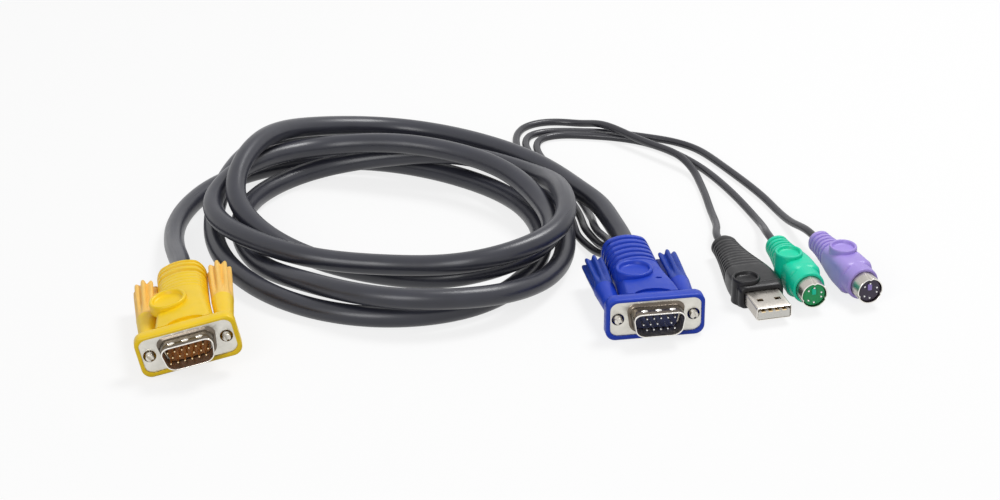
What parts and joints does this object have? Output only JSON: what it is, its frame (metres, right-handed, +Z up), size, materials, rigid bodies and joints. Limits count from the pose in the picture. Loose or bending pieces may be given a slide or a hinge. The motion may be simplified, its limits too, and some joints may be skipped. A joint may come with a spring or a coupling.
{
  "type": "kvm cable",
  "caption": "Coiled computer cable with a moulded video plug at each end and thin cords to USB and round mini-DIN plugs.",
  "frame": {"origin": "on the table the cable lies on, midway between the outermost points of the plugs", "axes": "+Z up, +X from the yellow video plug towards the small plugs, the plugs' mouths look roughly along -Y"},
  "size_m": [0.2464, 0.2026, 0.0265],
  "materials": {
    "cord_grey": "dark slate grey flexible PVC, slightly glossy",
    "yellow_pvc": "yellow moulded PVC, satin",
    "yellow_knob": "lighter orange-yellow moulded plastic",
    "blue_pvc": "royal blue moulded PVC, satin",
    "nickel": "bright nickel plate",
    "steel": "plated steel",
    "gold": "gold flash",
    "brown_insulator": "dark brown moulded resin",
    "dark_insulator": "blue-black moulded resin",
    "black_pvc": "charcoal moulded PVC",
    "cream_tongue": "cream resin with flat contacts on its upper side",
    "green_pvc": "mint green moulded PVC, satin",
    "green_insulator": "dark green resin",
    "purple_pvc": "light purple moulded PVC, satin",
    "purple_insulator": "purple-black resin"
  },
  "bodies": {
    "cable": {"main_cable": "cord_grey", "usb_cord": "cord_grey", "purple_cord": "cord_grey", "green_cord": "cord_grey", "yellow_hood": "yellow_pvc", "yellow_shell": "nickel", "yellow_insulator": "brown_insulator", "yellow_pin_01": "gold", "yellow_pin_02": "gold", "yellow_pin_03": "gold", "yellow_pin_04": "gold", "yellow_pin_05": "gold", "yellow_pin_06": "gold", "yellow_pin_07": "gold", "yellow_pin_08": "gold", "yellow_pin_09": "gold", "yellow_pin_10": "gold", "yellow_pin_11": "gold", "yellow_pin_12": "gold", "yellow_pin_13": "gold", "yellow_pin_14": "gold", "yellow_pin_15": "gold", "yellow_pin_16": "gold", "yellow_pin_17": "gold", "yellow_pin_18": "gold", "blue_hood": "blue_pvc", "blue_shell": "nickel", "blue_insulator": "dark_insulator", "blue_pin_01": "nickel", "blue_pin_02": "nickel", "blue_pin_03": "nickel", "blue_pin_04": "nickel", "blue_pin_05": "nickel", "blue_pin_06": "nickel", "blue_pin_07": "nickel", "blue_pin_08": "nickel", "blue_pin_09": "nickel", "blue_pin_10": "nickel", "blue_pin_11": "nickel", "blue_pin_12": "nickel", "blue_pin_13": "nickel", "blue_pin_14": "nickel", "usb_overmould": "black_pvc", "usb_shell": "nickel", "usb_tongue": "cream_tongue", "green_overmould": "green_pvc", "green_shell": "nickel", "green_contacts": "green_insulator", "purple_overmould": "purple_pvc", "purple_shell": "nickel", "purple_contacts": "purple_insulator"},
    "yellow_thumbscrew_left": {"yellow_screw_left": "steel", "yellow_knob_left": "yellow_knob"},
    "yellow_thumbscrew_right": {"yellow_screw_right": "steel", "yellow_knob_right": "yellow_knob"},
    "blue_thumbscrew_left": {"blue_screw_left": "steel", "blue_knob_left": "blue_pvc"},
    "blue_thumbscrew_right": {"blue_screw_right": "steel", "blue_knob_right": "blue_pvc"}
  },
  "joints": [
    {"name": "yellow_left_turn", "type": "hinge", "parent": "cable", "child": "yellow_thumbscrew_left", "pos_m": [-0.11337, -0.04268, 0.00814], "axis": [0.1323, -0.9912, 0], "continuous": true},
    {"name": "yellow_right_turn", "type": "hinge", "parent": "cable", "child": "yellow_thumbscrew_right", "pos_m": [-0.08922, -0.03945, 0.01376], "axis": [0.1323, -0.9912, 0], "continuous": true},
    {"name": "blue_left_turn", "type": "hinge", "parent": "cable", "child": "blue_thumbscrew_left", "pos_m": [0.03499, -0.01754, 0.0079], "axis": [0.1736, -0.9848, 0], "continuous": true},
    {"name": "blue_right_turn", "type": "hinge", "parent": "cable", "child": "blue_thumbscrew_right", "pos_m": [0.05962, -0.01319, 0.0079], "axis": [0.1736, -0.9848, 0], "continuous": true}
  ]
}
